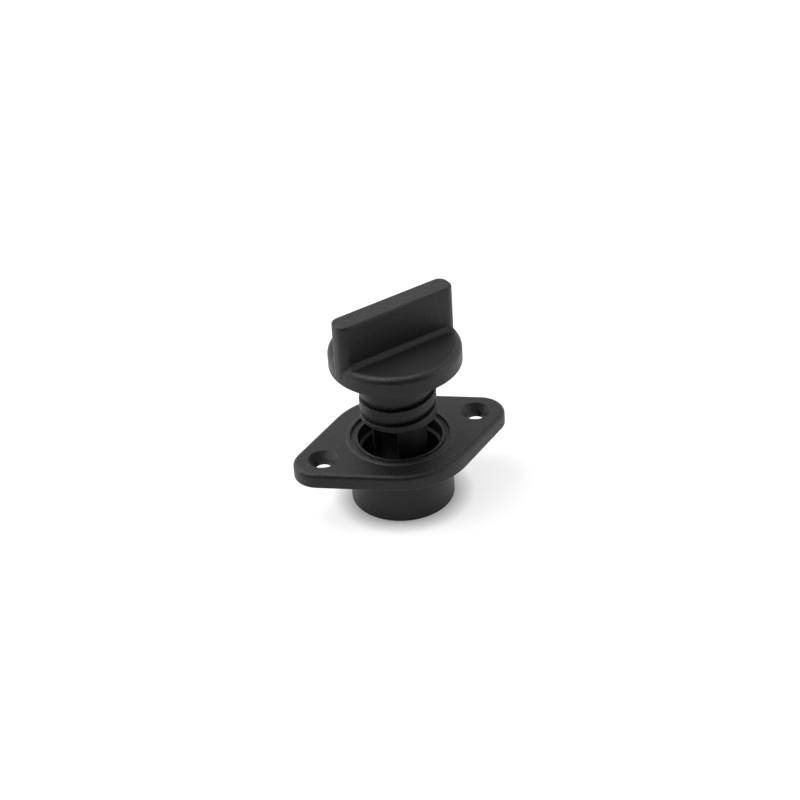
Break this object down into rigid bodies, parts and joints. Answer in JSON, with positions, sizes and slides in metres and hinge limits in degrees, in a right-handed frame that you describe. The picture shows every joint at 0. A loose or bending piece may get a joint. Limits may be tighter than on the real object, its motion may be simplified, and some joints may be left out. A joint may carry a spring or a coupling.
{
  "type": "captive drain plug and socket",
  "caption": "Captive drain plug with a finger wing, screwed into a two-hole flanged socket with a short spigot.",
  "frame": {"origin": "on the bore axis at the root of the spigot, level with the flange's underside and midway between the two screw holes", "axes": "+Z along the bore axis out of the hull, +X through the screw holes"},
  "size_m": [0.0596, 0.039, 0.0582],
  "materials": {
    "socket_plastic": "black moulded plastic, fine spark-eroded texture",
    "plug_plastic": "black moulded plastic, fine spark-eroded texture",
    "seal_rubber": "smooth satin"
  },
  "bodies": {
    "socket": {"socket": "socket_plastic"},
    "seal": {"sealing_ring": "seal_rubber"},
    "plug": {"plug": "plug_plastic"}
  },
  "joints": [
    {"name": "plug_lift", "type": "slide", "parent": "socket", "child": "seal", "axis": [0, 0, 1], "range_m": [-0.0222, 0]},
    {"name": "plug_turn", "type": "hinge", "parent": "seal", "child": "plug", "pos_m": [0, 0, 0.02], "axis": [0, 0, 1], "range_deg": [-1737.3, 0]}
  ],
  "couplings": [
    {"joint": "plug_lift", "follows": "plug_turn", "m_per_rad": 0.00073211}
  ]
}
